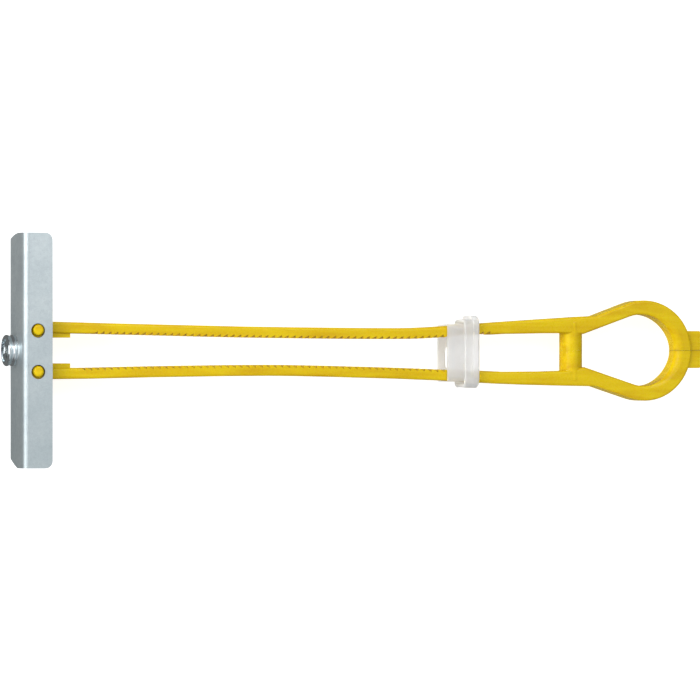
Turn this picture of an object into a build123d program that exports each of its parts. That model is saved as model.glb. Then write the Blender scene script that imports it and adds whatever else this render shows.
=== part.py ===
from build123d import *
import math
import os

# Strap-type hollow wall anchor (toggle).  All sizes in millimetres.
# Frame: origin on the axis of the threaded hole, at the outer face of the
# channel's web.  +X runs along the straps from the channel to the finger ring,
# +Y along the channel, +Z up, away from the surface that the anchor lies on.

# ---- channel: zinc-plated steel, folded to a U, with an extruded tapped collar
CHANNEL_LENGTH = 47.6
CHANNEL_WIDTH = 11.0
CHANNEL_DEPTH = 6.2
SHEET = 1.25
BEND_OUT = 1.5
BEND_IN = 0.35
FREE_CORNER_R = 1.5
COLLAR_R = 3.2
COLLAR_LENGTH = 2.4
THREAD_MAJOR_R = 2.42        # 10-24 thread, 4.83 mm major diameter
PIN_HOLE_R = 1.45

# ---- straps: one moulding each, toothed leg plus half of the finger ring
STRAP_WIDTH = 5.6
PIN_X = 3.35
PIN_Y = 4.2
PIN_R = 1.15
PIN_REACH = 5.38             # pin end, just under the channel's outer face
HOLE_OFF_UP = -0.18          # the holes sit a little left of and below the pins,
HOLE_OFF_LOW = -0.13         # which hang at the strap side of their clearance
BLOCK_T = 3.25
BLOCK_FULL_X = 6.0           # full width inside the channel, then a narrower heel
BLOCK_END_X = 10.8
HEEL_HALF_Z = 2.15
STRAP_T = 2.25               # over the tooth tips
TOOTH_DEPTH = 0.6
TOOTH_PITCH = 1.445
TOOTH_COUNT = 58
TOOTH_START_UP = 16.4
TOOTH_START_LOW = 13.8
LEG_END_T = 2.55
SEAM_GAP = 0.002
POST_X = 118.6
POST_R = 2.3
POST_HALF_Z = 2.86
RING_OUT_X = 144.2           # where the ring's outer and inner edges meet the seam
RING_IN_X = 140.7
FLARE_X = 134.5
FLARE_R = 1.7
TAB_END_X = 146.35
TAB_HALF_UP = 4.04
TAB_HALF_LOW = 3.65
TAB_HALF_Z = 2.2
EDGE_R = 0.5

# ---- cap: one moulding, slides on both straps
CAP_Y = -0.5
CAP_TIP_X = 90.8
CAP_NECK_X = 94.4
CAP_FLANGE_X = 96.15
CAP_END_X = 97.5
BARREL_HALF_Y, BARREL_HALF_Z, BARREL_R = 6.0, 3.6, 1.15
NECK_Y, NECK_HALF_Y, NECK_HALF_Z, NECK_R = -0.6, 7.0, 3.85, 1.8
FLANGE_Y, FLANGE_HALF_Y, FLANGE_HALF_Z, FLANGE_R = -0.27, 7.42, 4.05, 2.1
WAY_TOP, WAY_BOTTOM, WAY_HALF_Z = 5.8, -6.85, 2.92

# outer edge of each strap as it lies, bowed by its own spring (X, Y)
OUTER_UP = [(3.35, 5.85), (8, 5.81), (14, 5.66), (20, 5.50), (26, 5.38), (32, 5.24),
            (38, 5.09), (46, 4.92), (54, 4.80), (62, 4.71), (70, 4.63), (78, 4.60),
            (84, 4.65), (89, 4.88), (93.5, 5.20), (98, 5.53), (103, 5.88),
            (108.3, 6.24), (113.6, 6.56), (118.5, 6.88), (123.3, 7.12)]
OUTER_LOW = [(3.35, -5.85), (8, -5.81), (14, -5.74), (20, -5.61), (26, -5.48), (32, -5.38),
             (38, -5.29), (46, -5.20), (55, -5.18), (62, -5.29), (70, -5.49), (78, -5.71),
             (84, -5.91), (89, -6.12), (93.5, -6.34), (98, -6.60), (103, -6.86),
             (108.3, -7.06), (113.6, -7.20), (118.5, -7.31), (123.4, -7.40)]


def curve_y(table, x):
    """Height of a smooth curve through the table at x (cubic between points)."""
    n = len(table)
    slopes = []
    for i in range(n):
        a = table[max(i - 1, 0)]
        b = table[min(i + 1, n - 1)]
        slopes.append((b[1] - a[1]) / (b[0] - a[0]))
    i = 0
    while i < n - 2 and x > table[i + 1][0]:
        i += 1
    (x0, y0), (x1, y1) = table[i], table[i + 1]
    h = x1 - x0
    t = (x - x0) / h
    return ((2 * t**3 - 3 * t**2 + 1) * y0 + (t**3 - 2 * t**2 + t) * h * slopes[i]
            + (3 * t**2 - 2 * t**3) * y1 + (t**3 - t**2) * h * slopes[i + 1])


def half_ring(line_start, line_end, last):
    """Two arcs, tangent to each other, from the end of a straight arm to the seam,
    which they cross at a right angle."""
    dx, dy = line_end[0] - line_start[0], line_end[1] - line_start[1]
    n = math.hypot(dx, dy)
    dx, dy = dx / n, dy / n
    vx, vy = last[0] - line_end[0], last[1] - line_end[1]
    a = 2 * (-dy - 1)
    b = -2 * (vx * dx + vy * (dy - 1))
    d = (-b - math.sqrt(b * b - 4 * a * (vx * vx + vy * vy))) / (2 * a)
    joint = ((line_end[0] + d * dx + last[0]) / 2, (line_end[1] + d * dy + last[1] + d) / 2)
    return (TangentArc(line_end, joint, tangent=(dx, dy)),
            TangentArc(last, joint, tangent=(0, 1)))


def plate(points_or_edges, z0, z1):
    face = make_face(points_or_edges).faces()[0]
    if face.normal_at().Z < 0:
        face = -face
    return extrude(Pos(0, 0, z0) * face, amount=z1 - z0)


def box(x0, x1, y0, y1, z0, z1):
    return Pos((x0 + x1) / 2, (y0 + y1) / 2, (z0 + z1) / 2) * Box(x1 - x0, y1 - y0, z1 - z0)


def rounded_block(x0, x1, y, half_y, half_z, r):
    b = Pos((x0 + x1) / 2, y, 0) * Box(x1 - x0, 2 * half_y, 2 * half_z)
    return fillet(b.edges().filter_by(Axis.X), r)


def soften(body, edges, radii):
    """Rounds the edges with the first radius that closes to a valid solid."""
    for r in radii:
        try:
            done = fillet(edges, r)
        except ValueError:
            continue
        if done.is_valid and len(done.solids()) == 1:
            print("edge radius", r)
            return done
    print("edges left sharp")
    return body


# ------------------------------------------------------------------ channel
def make_channel():
    d, w, t = CHANNEL_DEPTH, CHANNEL_WIDTH / 2, SHEET
    outer = Pos(d / 2, 0, 0) * Box(d, CHANNEL_LENGTH, 2 * w)
    outer = fillet(outer.edges().filter_by(Axis.Y).group_by(Axis.X)[0], BEND_OUT)
    inner = Pos(t + d / 2, 0, 0) * Box(d, CHANNEL_LENGTH + 2, 2 * (w - t))
    inner = fillet(inner.edges().filter_by(Axis.Y).group_by(Axis.X)[0], BEND_IN)
    ch = outer - inner
    # round the free corners of both flanges
    free = [e for e in ch.edges().filter_by(Axis.Z)
            if e.center().X > d - 0.01 and abs(e.center().Y) > CHANNEL_LENGTH / 2 - 0.01]
    ch = fillet(free, FREE_CORNER_R)
    # ends trimmed back a little towards the lower side, as sheared
    half = CHANNEL_LENGTH / 2
    for pts in ([(1.6, half + 1), (1.6, half), (-1.2, half - 0.35), (-3.2, half - 0.85),
                 (-w - 1, half - 1.75), (-w - 1, half + 1)],
                [(1.2, -half - 1), (1.2, -half), (-1.0, -half + 0.6), (-3.2, -half + 1.45),
                 (-w - 1, -half + 2.9), (-w - 1, -half - 1)]):
        wire = Polyline(*[(-1, y, z) for z, y in pts], close=True)
        ch -= extrude(make_face(wire), amount=d + 2, dir=(1, 0, 0))
    # tapped collar drawn out of the web, away from the wall
    # its outline has a rolled lip, a shallow groove, a bead and a flared root
    L, R = COLLAR_LENGTH, COLLAR_R
    outline = [(0.4, 0.0), (-L, 0.0), (-L, R - 0.42), (-L + 0.06, R - 0.20), (-L + 0.26, R - 0.02),
               (-L + 0.46, R), (-L + 0.66, R - 0.05), (-L + 0.86, R - 0.18), (-L + 1.00, R - 0.22),
               (-L + 1.16, R - 0.18), (-L + 1.36, R - 0.05), (-L + 1.56, R), (-L + 1.76, R - 0.04),
               (-L + 1.90, R - 0.14), (-0.30, R - 0.10), (-0.12, R + 0.08), (0.0, R + 0.34), (0.4, R + 0.50)]
    collar = revolve(make_face(Polyline(*outline, close=True)), axis=Axis.X, revolution_arc=360)
    ch = ch + collar
    bore = Pos(0, 0, 0) * Rot(0, 90, 0) * Cylinder(THREAD_MAJOR_R, 12)
    ch -= bore
    # pin holes through both flanges
    for s, off in ((1, HOLE_OFF_UP), (-1, HOLE_OFF_LOW)):
        ch -= Pos(PIN_X + off, s * PIN_Y + off, 0) * Cylinder(PIN_HOLE_R, 2 * w + 2)
    return ch.solids()[0] if len(ch.solids()) == 1 else ch


# ------------------------------------------------------------------- straps
def make_strap(upper):
    # drawn on the +Y side; the lower strap is then mirrored to its own side
    s = 1
    table = OUTER_UP if upper else [(x, -y) for x, y in OUTER_LOW]
    start = TOOTH_START_UP if upper else TOOTH_START_LOW
    hw = STRAP_WIDTH / 2

    def yo(x):
        return curve_y(table, x)

    def yi(x, t):
        return yo(x) - s * t

    leg_end = start + TOOTH_COUNT * TOOTH_PITCH
    x_start = leg_end + 0.3
    # --- outer edge, and the toothed inner edge from the last tooth to the pivot end
    outer_edge = Spline(*[(x, yo(x)) for x, _ in table])
    inner = []
    for n in range(TOOTH_COUNT + 1):
        x0 = start + n * TOOTH_PITCH
        inner.append((x0, yi(x0, STRAP_T - TOOTH_DEPTH)))
        inner.append((x0 + 0.10, yi(x0 + 0.10, STRAP_T)))
        if n < TOOTH_COUNT:
            inner.append((x0 + 0.28, yi(x0 + 0.28, STRAP_T)))
    inner.reverse()
    inner.insert(0, (x_start, yi(x_start, STRAP_T)))
    inner.append((start - 0.9, yi(start - 0.9, STRAP_T)))
    inner.append((BLOCK_FULL_X, yi(BLOCK_FULL_X, STRAP_T)))
    inner.append((BLOCK_FULL_X, s * (5.85 - BLOCK_T)))
    inner.append((PIN_X, s * (5.85 - BLOCK_T)))
    r = BLOCK_T / 2
    nose = ThreePointArc((PIN_X, s * (5.85 - BLOCK_T)), (PIN_X - r, s * (5.85 - r)), (PIN_X, s * 5.85))
    # pins, moulded with the strap, that snap into the flange holes
    pin = Pos(PIN_X, s * PIN_Y, 0) * Cylinder(PIN_R, 2 * PIN_REACH)
    pin = fillet(pin.edges().filter_by(GeomType.CIRCLE), 0.5)
    shoulder = Pos(PIN_X, s * PIN_Y, 0) * Cylinder(1.5, 2 * (CHANNEL_WIDTH / 2 - SHEET - 0.15))

    # --- smooth leg, arm and half ring
    seam = s * SEAM_GAP / 2
    x_knee, y_knee = table[-1]
    if upper:
        in_leg = [(x_start, yi(x_start, LEG_END_T - 0.1)), (103.2, 3.40), (112.0, 3.55), (116.5, 3.56)]
        arm_in_a, arm_in_b = (120.6, 3.40), (130.6, 6.98)
        arm_out_b = (130.34, 9.725)
    else:
        in_leg = [(x_start, yi(x_start, LEG_END_T - 0.1)), (103.2, 4.38), (112.0, 4.33), (116.5, 4.20)]
        arm_in_a, arm_in_b = (120.8, 3.43), (131.6, 6.99)
        arm_out_b = (131.0, 9.91)
    out_arm = Line((x_knee, yo(x_knee)), arm_out_b)
    out_ring = half_ring((x_knee, yo(x_knee)), arm_out_b, (RING_OUT_X, seam))
    in_ring = half_ring(arm_in_a, arm_in_b, (RING_IN_X, seam))
    seam_edge = Line((RING_OUT_X, seam), (RING_IN_X, seam))
    arm_in = Line(arm_in_a, arm_in_b)
    inner_edge = Polyline(arm_in_a, *reversed(in_leg), *inner)
    body = plate([outer_edge, out_arm, *out_ring, seam_edge, *in_ring, arm_in, inner_edge, nose], -hw, hw)
    soft = [e for e in body.edges()
            if abs(abs(e.center().Z) - hw) < 1e-3 and abs(e.center().Y - seam) > 0.02 and e.length > 3.0]
    body = soften(body, soft, (EDGE_R, 0.4, 0.35, 0.25))
    # the pulling finger rests inside the ring's far side: the inner edges are
    # rounded over there, most at the seam and fading out at the crown
    cx, f = FLARE_X, FLARE_R
    ri = RING_IN_X - cx
    for z in (1, -1):
        low, high = z * (hw - f), z * hw
        flare = [Line((cx, 0, low), (cx + ri, 0, low)),
                 ThreePointArc((cx + ri, 0, low), (cx + ri + 0.293 * f, 0, z * (hw - 0.293 * f)),
                               (cx + ri + f, 0, high)),
                 Line((cx + ri + f, 0, high), (cx + ri + f, 0, z * (hw + 1))),
                 Line((cx + ri + f, 0, z * (hw + 1)), (cx, 0, z * (hw + 1))),
                 Line((cx, 0, z * (hw + 1)), (cx, 0, low))]
        body -= revolve(make_face(flare), axis=Axis((cx, 0, 0), (0, 0, 1)), revolution_arc=360)
    # half of the cross post, closed at the seam
    post_top = (yo(POST_X) + yi(POST_X, 3.2)) / 2
    section = Rot(90, 0, 0) * Ellipse(POST_R, POST_HALF_Z)
    post = extrude(Pos(POST_X, seam, 0) * section, amount=post_top + 0.9 - seam, dir=(0, 1, 0))
    post = fillet(post.edges().sort_by(Axis.Y)[-1], 0.5)
    # narrow heel of the pivot block, outside the channel
    heel = box(BLOCK_FULL_X - 0.5, BLOCK_END_X, 5.85 - BLOCK_T, 5.85 - STRAP_T + 0.5, -HEEL_HALF_Z, HEEL_HALF_Z)
    # half of the pull tab behind the ring
    tab_y = s * (TAB_HALF_UP if upper else TAB_HALF_LOW)
    y_low, y_high = min(seam, tab_y), max(seam, tab_y)
    tab = box(142.6, TAB_END_X, y_low, y_high, -TAB_HALF_Z, TAB_HALF_Z)
    tab = fillet([e for e in tab.edges().filter_by(Axis.Z)
                  if e.center().X > TAB_END_X - 0.01 and abs(e.center().Y - tab_y) < 0.01], 0.4)
    strap = body + pin + shoulder + heel + post + tab
    return strap if upper else mirror(strap, about=Plane.XZ)


# ---------------------------------------------------------------------- cap
def make_cap():
    barrel = rounded_block(CAP_TIP_X, CAP_NECK_X + 0.2, CAP_Y, BARREL_HALF_Y, BARREL_HALF_Z, BARREL_R)
    neck = rounded_block(CAP_NECK_X, CAP_FLANGE_X + 0.2, NECK_Y, NECK_HALF_Y, NECK_HALF_Z, NECK_R)
    flange = rounded_block(CAP_FLANGE_X, CAP_END_X, FLANGE_Y, FLANGE_HALF_Y, FLANGE_HALF_Z, FLANGE_R)
    rim = [e for e in flange.edges() if abs(e.center().X - CAP_END_X) < 1e-3]
    flange = fillet(rim, 0.35)
    nrim = [e for e in neck.edges() if abs(e.center().X - CAP_NECK_X) < 1e-3]
    neck = fillet(nrim, 0.3)
    cap = barrel + neck + flange
    # the way for the straps, above and below, and for the bolt between them
    cap -= box(CAP_TIP_X - 1, CAP_END_X + 1, WAY_BOTTOM, WAY_TOP, -WAY_HALF_Z, WAY_HALF_Z)
    # four pawl ribs, one at each corner of the bolt's way, facing the teeth
    for z in (-1, 1):
        for y0, y1 in ((1.25, 2.15), (-2.85, -2.05)):
            a, b = sorted((z * 2.2, z * (WAY_HALF_Z + 0.2)))
            tip = y1 if y0 > 0 else y0
            base = y0 if y0 > 0 else y1
            wedge = Polyline((CAP_TIP_X + 1.9, base), (CAP_TIP_X + 1.9, base + (tip - base) * 0.35),
                             (CAP_TIP_X + 5.6, tip), (CAP_TIP_X + 5.9, base), close=True)
            cap += extrude(Pos(0, 0, a) * make_face(wedge), amount=b - a, dir=(0, 0, 1))
    # small window in the lower cheek
    win = Pos(92.85, -1.45, -BARREL_HALF_Z) * Box(1.15, 4.2, 2.4)
    win = fillet(win.edges().filter_by(Axis.Z), 0.5)
    cap -= win
    return cap


os.makedirs("parts", exist_ok=True)
for name, part in (("toggle_channel", make_channel()), ("strap_upper", make_strap(True)),
                   ("strap_lower", make_strap(False)), ("cap", make_cap())):
    solids = part.solids()
    print(name, "solids", len(solids), "valid", all(q.is_valid for q in solids))
    export_step(Compound(label=name, children=list(solids)) if len(solids) > 1 else solids[0],
                f"parts/{name}.step")
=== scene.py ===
import math

import bpy
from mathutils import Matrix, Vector


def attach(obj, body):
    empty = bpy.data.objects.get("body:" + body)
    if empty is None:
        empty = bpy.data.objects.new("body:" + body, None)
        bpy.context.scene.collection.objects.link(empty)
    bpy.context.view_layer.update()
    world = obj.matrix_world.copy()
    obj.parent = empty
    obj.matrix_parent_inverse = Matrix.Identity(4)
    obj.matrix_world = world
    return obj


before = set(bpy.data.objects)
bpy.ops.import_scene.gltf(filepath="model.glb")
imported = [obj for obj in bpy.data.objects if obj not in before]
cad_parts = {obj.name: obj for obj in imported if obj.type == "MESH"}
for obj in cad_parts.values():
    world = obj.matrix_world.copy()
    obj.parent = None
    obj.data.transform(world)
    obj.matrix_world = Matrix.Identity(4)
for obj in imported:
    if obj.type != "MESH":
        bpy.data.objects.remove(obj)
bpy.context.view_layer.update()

# Strap-type hollow wall anchor.  Metres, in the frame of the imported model:
# origin on the threaded hole's axis at the web's outer face, +X along the
# straps, +Y along the channel, +Z up.
MM = 0.001


# ------------------------------------------------------------ material tools
def material(name):
    m = bpy.data.materials.new(name)
    m.use_nodes = True
    nt = m.node_tree
    nt.nodes.clear()
    out = nt.nodes.new("ShaderNodeOutputMaterial")
    b = nt.nodes.new("ShaderNodeBsdfPrincipled")
    nt.links.new(b.outputs["BSDF"], out.inputs["Surface"])
    return m, nt, b, out


def position(nt, scale):
    """Object coordinates in millimetres, stretched by scale."""
    tc = nt.nodes.new("ShaderNodeTexCoord")
    mp = nt.nodes.new("ShaderNodeMapping")
    mp.inputs["Scale"].default_value = [1000.0 * s for s in scale]
    nt.links.new(tc.outputs["Object"], mp.inputs["Vector"])
    return mp.outputs["Vector"]


def noise(nt, vec, scale, detail=4.0, rough=0.55, distort=0.0):
    n = nt.nodes.new("ShaderNodeTexNoise")
    n.inputs["Scale"].default_value = scale
    n.inputs["Detail"].default_value = detail
    n.inputs["Roughness"].default_value = rough
    n.inputs["Distortion"].default_value = distort
    nt.links.new(vec, n.inputs["Vector"])
    return n.outputs["Fac"]


def ramp(nt, fac, stops):
    r = nt.nodes.new("ShaderNodeValToRGB")
    els = r.color_ramp.elements
    while len(els) < len(stops):
        els.new(0.5)
    for e, (p, c) in zip(els, stops):
        e.position = p
        e.color = (*c, 1.0) if len(c) == 3 else c
    nt.links.new(fac, r.inputs["Fac"])
    return r.outputs["Color"]


def mix_rgb(nt, fac, a, b, kind="MIX"):
    m = nt.nodes.new("ShaderNodeMix")
    m.data_type = "RGBA"
    m.blend_type = kind
    if isinstance(fac, (int, float)):
        m.inputs[0].default_value = fac
    else:
        nt.links.new(fac, m.inputs[0])
    for sock, v in ((m.inputs[6], a), (m.inputs[7], b)):
        if isinstance(v, tuple):
            sock.default_value = (*v, 1.0)
        else:
            nt.links.new(v, sock)
    return m.outputs[2]


def map_range(nt, fac, a, b, c, d):
    m = nt.nodes.new("ShaderNodeMapRange")
    m.inputs["From Min"].default_value = a
    m.inputs["From Max"].default_value = b
    m.inputs["To Min"].default_value = c
    m.inputs["To Max"].default_value = d
    nt.links.new(fac, m.inputs["Value"])
    return m.outputs["Result"]


def bump(nt, height, strength, distance_mm, normal=None):
    b = nt.nodes.new("ShaderNodeBump")
    b.inputs["Strength"].default_value = strength
    b.inputs["Distance"].default_value = distance_mm * MM
    nt.links.new(height, b.inputs["Height"])
    if normal is not None:
        nt.links.new(normal, b.inputs["Normal"])
    return b.outputs["Normal"]


def lin(r, g, b):
    """sRGB 0-255 to linear."""
    def f(v):
        v /= 255.0
        return v / 12.92 if v <= 0.04045 else ((v + 0.055) / 1.055) ** 2.4
    return (f(r), f(g), f(b))


# ------------------------------------------------------------------ materials
def zinc_steel():
    """Bright zinc on folded strip: cool grey with a fine mottle, faint rolling
    lines along the channel and small dull scuffs. The tapped collar is brighter
    and smoother, where the tool has burnished it."""
    m, nt, b, _ = material("zinc_steel")
    even = position(nt, (1, 1, 1))
    along = position(nt, (1, 0.05, 1))
    cloud = noise(nt, even, 0.16, 4.0, 0.6, 0.3)
    mottle = noise(nt, even, 1.1, 6.0, 0.72, 0.5)
    fine = noise(nt, even, 4.2, 3.0, 0.7)
    roll = noise(nt, along, 4.0, 3.0, 0.6)
    scuff = noise(nt, even, 0.75, 7.0, 0.75, 1.6)
    base = ramp(nt, cloud, [(0.30, lin(190, 200, 204)), (0.50, lin(200, 210, 213)), (0.72, lin(208, 217, 219))])
    grain = ramp(nt, mottle, [(0.28, (0.80, 0.81, 0.83)), (0.50, (0.98, 0.98, 0.98)), (0.72, (1.14, 1.13, 1.12))])
    col = mix_rgb(nt, 0.60, base, grain, "MULTIPLY")
    speck = ramp(nt, fine, [(0.30, (0.88, 0.88, 0.89)), (0.55, (1.0, 1.0, 1.0)), (0.80, (1.12, 1.12, 1.12))])
    col = mix_rgb(nt, 0.55, col, speck, "MULTIPLY")
    marks = ramp(nt, scuff, [(0.60, (0.0, 0.0, 0.0)), (0.70, (1.0, 1.0, 1.0))])
    col = mix_rgb(nt, map_range(nt, marks, 0, 1, 0.0, 0.30), col, lin(150, 156, 160))
    # burnished zone: the collar, left of the web
    tc = nt.nodes.new("ShaderNodeTexCoord")
    sep = nt.nodes.new("ShaderNodeSeparateXYZ")
    nt.links.new(tc.outputs["Object"], sep.inputs["Vector"])
    zone = map_range(nt, sep.outputs["X"], -0.0001, -0.0006, 0.0, 1.0)
    # painted shade: the channel is painted a little darker towards its -Y end, standing in for the light falling
    # off there
    minus_y_shade = map_range(nt, sep.outputs["Y"], 0.022, -0.024, 0.0, 1.0)
    col = mix_rgb(nt, map_range(nt, minus_y_shade, 0, 1, 0.0, 0.26), col, lin(120, 140, 146))
    col = mix_rgb(nt, zone, col, lin(222, 230, 234))
    nt.links.new(col, b.inputs["Base Color"])
    nt.links.new(map_range(nt, zone, 0, 1, 0.80, 1.0), b.inputs["Metallic"])
    rg = map_range(nt, mottle, 0.3, 0.7, 0.40, 0.28)
    mx = nt.nodes.new("ShaderNodeMix")
    mx.data_type = "FLOAT"
    nt.links.new(zone, mx.inputs[0])
    nt.links.new(rg, mx.inputs[2])
    mx.inputs[3].default_value = 0.14
    nt.links.new(mx.outputs[0], b.inputs["Roughness"])
    b.inputs["Specular IOR Level"].default_value = 0.5
    n1 = bump(nt, roll, 0.20, 0.010)
    n2 = bump(nt, scuff, 0.22, 0.020, n1)
    n3 = bump(nt, mottle, 0.25, 0.018, n2)
    nt.links.new(n3, b.inputs["Normal"])
    return m


def yellow_plastic():
    """Glossy injection-moulded plastic: even yellow with faint flow streaks
    along the strap and a very light mould grain."""
    m, nt, b, _ = material("yellow_plastic")
    even = position(nt, (1, 1, 1))
    along = position(nt, (0.12, 1, 1))
    flow = noise(nt, along, 0.55, 3.0, 0.5, 0.6)
    cloud = noise(nt, even, 0.16, 3.0, 0.5)
    grain = noise(nt, even, 7.0, 3.0, 0.6)
    scuff = noise(nt, even, 1.4, 6.0, 0.75, 1.0)
    c1 = ramp(nt, flow, [(0.28, lin(205, 168, 6)), (0.52, lin(216, 186, 10)), (0.78, lin(224, 197, 18))])
    c2 = ramp(nt, cloud, [(0.32, (0.96, 0.91, 0.85)), (0.60, (1.0, 1.0, 1.0))])
    col = mix_rgb(nt, 0.8, c1, c2, "MULTIPLY")
    # painted shadow: a dark line painted along the parting line where the two halves of the ring meet, standing
    # in for the shade in the seam's groove
    tc = nt.nodes.new("ShaderNodeTexCoord")
    sep = nt.nodes.new("ShaderNodeSeparateXYZ")
    nt.links.new(tc.outputs["Object"], sep.inputs["Vector"])
    off = nt.nodes.new("ShaderNodeMath")
    off.operation = "ABSOLUTE"
    nt.links.new(sep.outputs["Y"], off.inputs[0])
    seam_shade = nt.nodes.new("ShaderNodeMath")
    seam_shade.operation = "MULTIPLY"
    nt.links.new(map_range(nt, off.outputs[0], 0.00006, 0.00014, 0.45, 0.0), seam_shade.inputs[0])
    nt.links.new(map_range(nt, sep.outputs["X"], 0.1395, 0.1408, 0.0, 1.0), seam_shade.inputs[1])
    col = mix_rgb(nt, seam_shade.outputs[0], col, lin(120, 88, 10))
    nt.links.new(col, b.inputs["Base Color"])
    b.inputs["Subsurface Weight"].default_value = 0.22
    b.inputs["Subsurface Radius"].default_value = (1.0, 0.60, 0.05)
    b.inputs["Subsurface Scale"].default_value = 1.2 * MM
    b.inputs["IOR"].default_value = 1.49
    b.inputs["Specular IOR Level"].default_value = 0.22
    nt.links.new(map_range(nt, scuff, 0.35, 0.75, 0.22, 0.38), b.inputs["Roughness"])
    n1 = bump(nt, flow, 0.20, 0.05)
    n2 = bump(nt, grain, 0.10, 0.012, n1)
    nt.links.new(n2, b.inputs["Normal"])
    return m


def cap_nylon():
    """Translucent unfilled nylon: milky, lets the straps glow through."""
    m, nt, b, _ = material("cap_nylon")
    even = position(nt, (1, 1, 1))
    cloud = noise(nt, even, 0.30, 4.0, 0.55, 0.3)
    grain = noise(nt, even, 5.0, 3.0, 0.6)
    col = ramp(nt, cloud, [(0.30, lin(236, 236, 235)), (0.55, lin(242, 242, 242)), (0.80, lin(247, 247, 249))])
    nt.links.new(col, b.inputs["Base Color"])
    b.inputs["Transmission Weight"].default_value = 0.50
    b.inputs["IOR"].default_value = 1.20
    b.inputs["Subsurface Weight"].default_value = 0.50
    b.inputs["Subsurface Radius"].default_value = (1.0, 0.97, 0.92)
    b.inputs["Subsurface Scale"].default_value = 2.2 * MM
    b.inputs["Specular IOR Level"].default_value = 0.5
    nt.links.new(map_range(nt, cloud, 0.3, 0.8, 0.40, 0.28), b.inputs["Roughness"])
    n1 = bump(nt, cloud, 0.15, 0.08)
    n2 = bump(nt, grain, 0.08, 0.012, n1)
    nt.links.new(n2, b.inputs["Normal"])
    return m


def floor_paper():
    m, nt, b, _ = material("floor_paper")
    tc = nt.nodes.new("ShaderNodeTexCoord")
    n = nt.nodes.new("ShaderNodeTexNoise")
    n.inputs["Scale"].default_value = 60.0
    nt.links.new(tc.outputs["Object"], n.inputs["Vector"])
    col = ramp(nt, n.outputs["Fac"], [(0.3, (0.50, 0.50, 0.50)), (0.7, (0.53, 0.53, 0.53))])
    nt.links.new(col, b.inputs["Base Color"])
    b.inputs["Roughness"].default_value = 0.9
    b.inputs["Specular IOR Level"].default_value = 0.1
    b.inputs["Emission Color"].default_value = (1, 1, 1, 1)
    b.inputs["Emission Strength"].default_value = 0.80
    return m


ZINC, YELLOW, NYLON, PAPER = zinc_steel(), yellow_plastic(), cap_nylon(), floor_paper()

for name, mat in (("toggle_channel", ZINC), ("strap_upper", YELLOW), ("strap_lower", YELLOW), ("cap", NYLON)):
    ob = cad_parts[name]
    if ob.material_slots:
        for s in ob.material_slots:
            s.material = mat
    else:
        ob.data.materials.append(mat)


# ------------------------------------------------------------ thread in the collar
def thread_ridge():
    """Right-hand helical ridge that fills the collar's plain bore down to the
    thread's minor radius.  10-24 thread: pitch 1.058 mm."""
    pitch, x0, x1 = 1.058, -2.22, 1.12
    r_root, r_major, r_minor = 2.47, 2.40, 1.98
    steps = 96
    turns = (x1 - x0) / pitch
    n = int(turns * steps)
    # half widths of the ridge's section at the wall and at the crest
    sect = [(-0.46, r_root), (-0.46, r_major), (-0.34, 2.30), (-0.08, r_minor),
            (0.08, r_minor), (0.34, 2.30), (0.46, r_major), (0.46, r_root)]
    verts, faces = [], []
    k = len(sect)
    for i in range(n + 1):
        a = 2 * math.pi * i / steps
        x = x0 + pitch * i / steps
        # the ridge runs out smoothly over half a turn at both ends
        d = min(i, n - i) / (0.5 * steps)
        f = 1.0 if d >= 1 else d * d * (3 - 2 * d)
        for dx, r in sect:
            rr = r if r >= r_root else r_major + (r - r_major) * max(f, 0.02)
            verts.append(((x + dx * (0.35 + 0.65 * f)) * MM, rr * math.cos(a) * MM, rr * math.sin(a) * MM))
    for i in range(n):
        for j in range(k):
            a, b = i * k + j, i * k + (j + 1) % k
            faces.append((a, b, b + k, a + k))
    faces.append(tuple(range(k - 1, -1, -1)))
    faces.append(tuple(n * k + j for j in range(k)))
    me = bpy.data.meshes.new("collar_thread")
    me.from_pydata(verts, [], faces)
    me.validate()
    me.update()
    ob = bpy.data.objects.new("collar_thread", me)
    bpy.context.scene.collection.objects.link(ob)
    import bmesh
    bm = bmesh.new()
    bm.from_mesh(me)
    bmesh.ops.recalc_face_normals(bm, faces=bm.faces)
    bm.to_mesh(me)
    bm.free()
    me.materials.append(ZINC)
    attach(ob, "channel")
    return ob


thread_ridge()


# ------------------------------------------------------------------- the stage
def stage_floor():
    z = -5.52 * MM
    me = bpy.data.meshes.new("floor")
    s = 1.6
    me.from_pydata([(-s, -s, z), (s, -s, z), (s, s, z), (-s, s, z)], [], [(0, 1, 2, 3)])
    me.update()
    ob = bpy.data.objects.new("floor", me)
    bpy.context.scene.collection.objects.link(ob)
    me.materials.append(PAPER)
    ob.visible_glossy = False


stage_floor()

world = bpy.data.worlds.new("studio")
bpy.context.scene.world = world
world.use_nodes = True
wnt = world.node_tree
bg = wnt.nodes["Background"]
wtc = wnt.nodes.new("ShaderNodeTexCoord")
wsep = wnt.nodes.new("ShaderNodeSeparateXYZ")
wnt.links.new(wtc.outputs["Generated"], wsep.inputs["Vector"])
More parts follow.
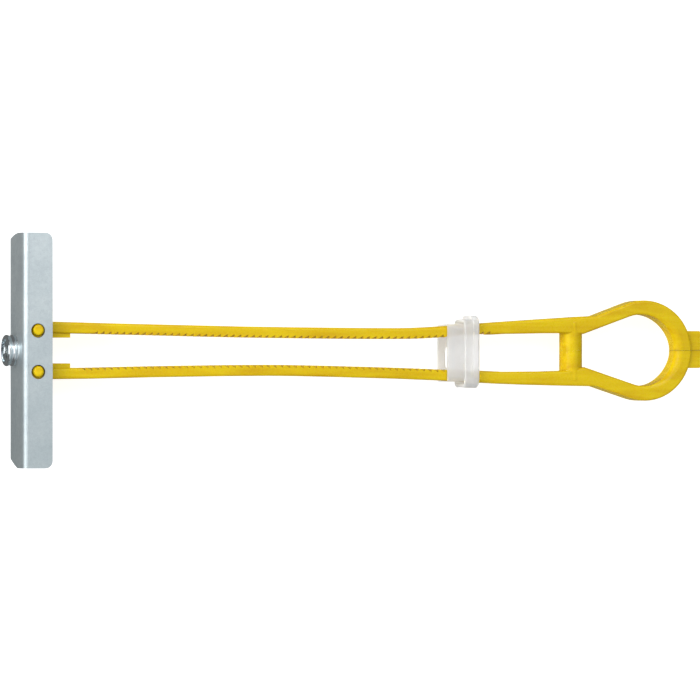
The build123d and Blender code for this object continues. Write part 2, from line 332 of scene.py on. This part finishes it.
# a tent that is pale overhead and greyer below the horizon
sky = ramp(wnt, map_range(wnt, wsep.outputs["Z"], -1.0, 1.0, 0.0, 1.0),
           [(0.0, (0.165, 0.166, 0.160)), (0.48, (0.15, 0.15, 0.15)), (0.62, (0.13, 0.13, 0.132)),
            (0.80, (0.62, 0.63, 0.64)), (1.0, (0.64, 0.655, 0.67))])
wnt.links.new(sky, bg.inputs["Color"])
bg.inputs["Strength"].default_value = 1.0


def area(name, loc_mm, target_mm, size_mm, power, color=(1, 1, 1)):
    ld = bpy.data.lights.new(name, "AREA")
    ld.shape = "RECTANGLE"
    ld.size, ld.size_y = size_mm[0] * MM, size_mm[1] * MM
    ld.energy = power
    ld.color = color
    ob = bpy.data.objects.new(name, ld)
    ob.location = Vector(loc_mm) * MM
    d = (Vector(target_mm) - Vector(loc_mm)).normalized()
    ob.rotation_euler = d.to_track_quat("-Z", "Y").to_euler()
    bpy.context.scene.collection.objects.link(ob)
    return ob


def softbox(name, loc_mm, target_mm, size_mm, radiance, color=(1, 1, 1)):
    """An area light of a given surface brightness."""
    return area(name, loc_mm, target_mm, size_mm, radiance * math.pi * size_mm[0] * size_mm[1] * MM * MM, color)


softbox("key", (-330, 250, 470), (70, 0, 0), (420, 320), 3.1, (1.0, 0.995, 0.98))
softbox("side", (-430, 30, 190), (60, 0, 0), (360, 330), 1.6, (1, 1, 1))
# the same side light again, but not mirrored in the bright metal
fill = softbox("side_fill", (-440, 30, 190), (60, 0, 0), (360, 330), 4.2, (1, 1, 1))
fill.visible_glossy = False
softbox("top", (210, 275, 600), (100, 0, 0), (320, 250), 3.6, (1.0, 1.0, 1.0))

# ------------------------------------------------------------------ the camera
cam = bpy.data.cameras.new("camera")
cam.sensor_fit = "HORIZONTAL"
cam.sensor_width = 36.0
cam.lens = 36.0 * 8000.0 / 700.0
cam.clip_start = 0.1
cam.clip_end = 10.0
cam_ob = bpy.data.objects.new("camera", cam)
psi = math.radians(17.4)
dist = 8000.0 / 4.96 + 5.5 * math.cos(psi)
right = (350 - 15.9) * dist / 8000.0
cam_ob.location = ((right * math.cos(psi) - dist * math.sin(psi)) * MM, 0.5 * dist / 8000.0 * MM,
                   (right * math.sin(psi) + dist * math.cos(psi)) * MM)
cam_ob.rotation_euler = (0.0, -psi, 0.0)
bpy.context.scene.collection.objects.link(cam_ob)
bpy.context.scene.camera = cam_ob

bpy.context.scene.view_settings.view_transform = "Standard"
